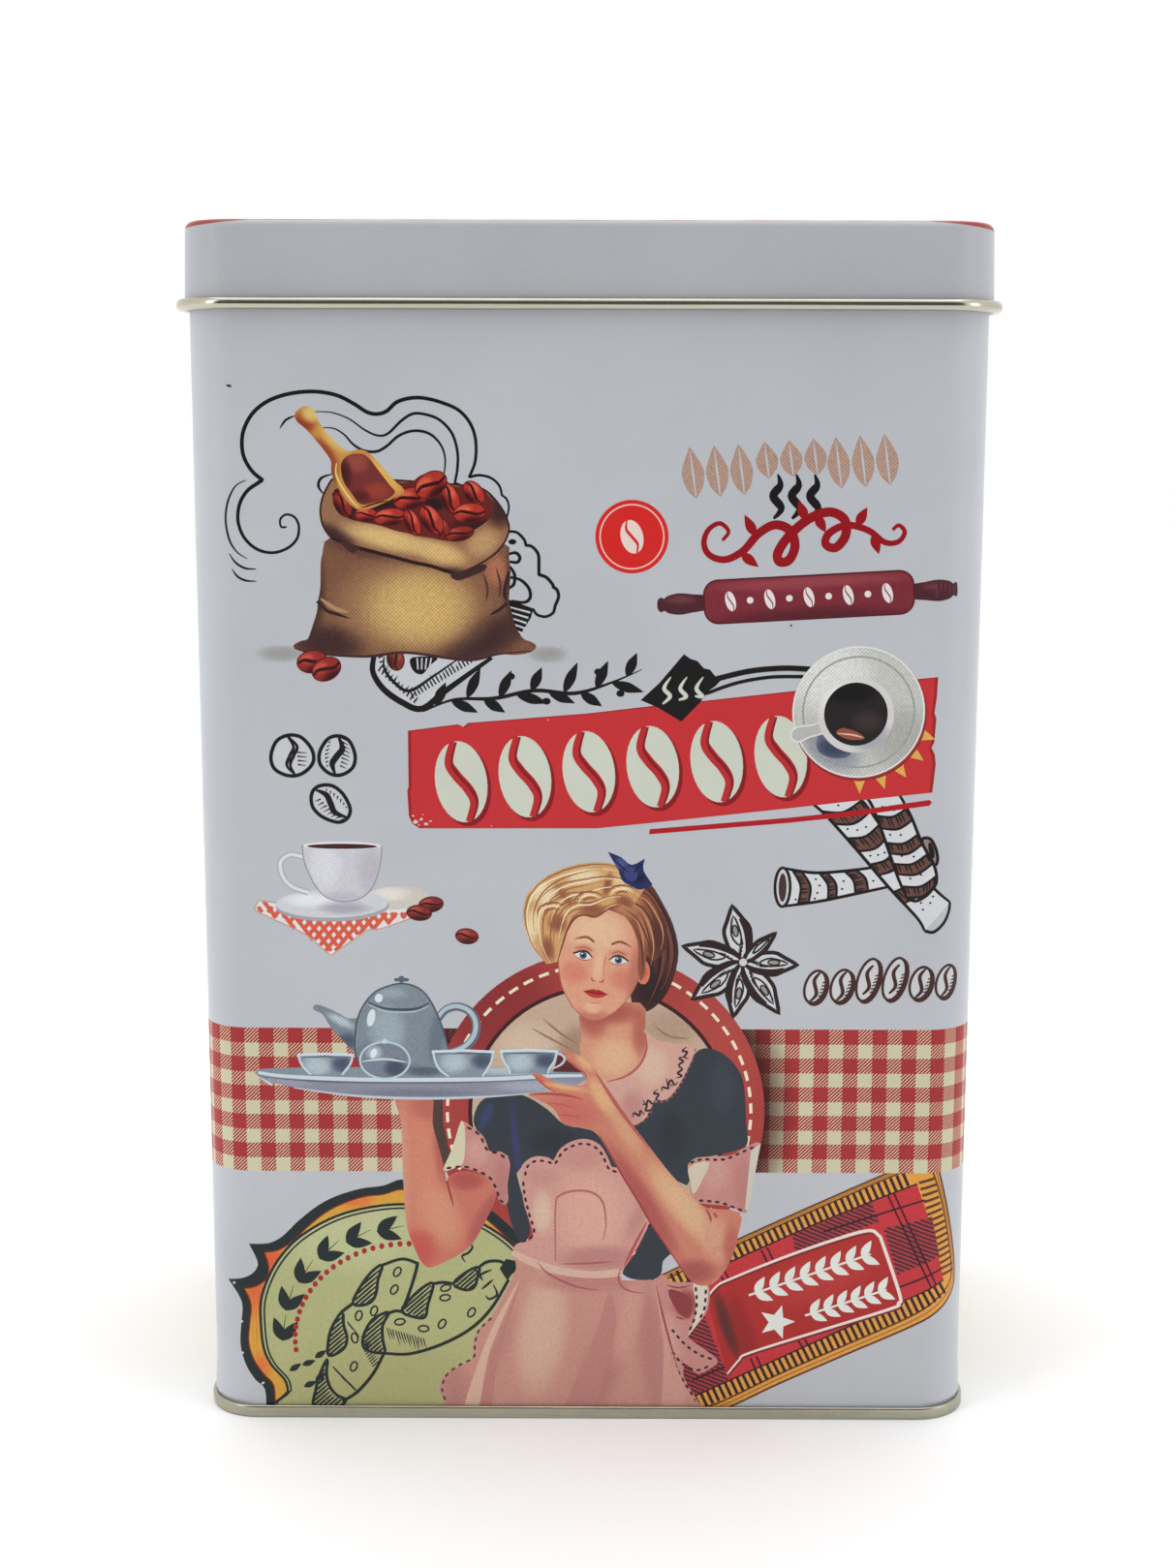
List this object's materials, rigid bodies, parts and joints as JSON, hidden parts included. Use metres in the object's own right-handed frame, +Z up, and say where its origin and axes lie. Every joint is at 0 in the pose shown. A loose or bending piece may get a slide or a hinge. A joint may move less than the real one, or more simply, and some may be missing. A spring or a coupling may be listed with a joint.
{
  "type": "coffee tin",
  "caption": "Upright rectangular tinplate coffee tin with printed sides, a slip-on lid with a rolled lower edge, and a double-seamed base.",
  "frame": {"origin": "middle of the footprint, on the surface the tin stands on", "axes": "+Z up, front printed panel faces -Y, +X to the right seen from the front"},
  "size_m": [0.122, 0.0838, 0.183],
  "materials": {
    "printed_body": "pale grey enamel with offset-printed pictures under clear varnish, satin gloss",
    "printed_lid": "pale grey enamel skirt and red printed top under clear varnish, satin gloss",
    "tinplate": "bare tinplate with a faint gold lacquer, bright, with fine rolling lines"
  },
  "bodies": {
    "body": {"body_wall": "printed_body", "base": "tinplate"},
    "lid": {"lid": "printed_lid"}
  },
  "joints": [
    {"name": "lid_lift", "type": "slide", "parent": "body", "child": "lid", "axis": [0, 0, 1], "range_m": [0, 0.12]}
  ]
}
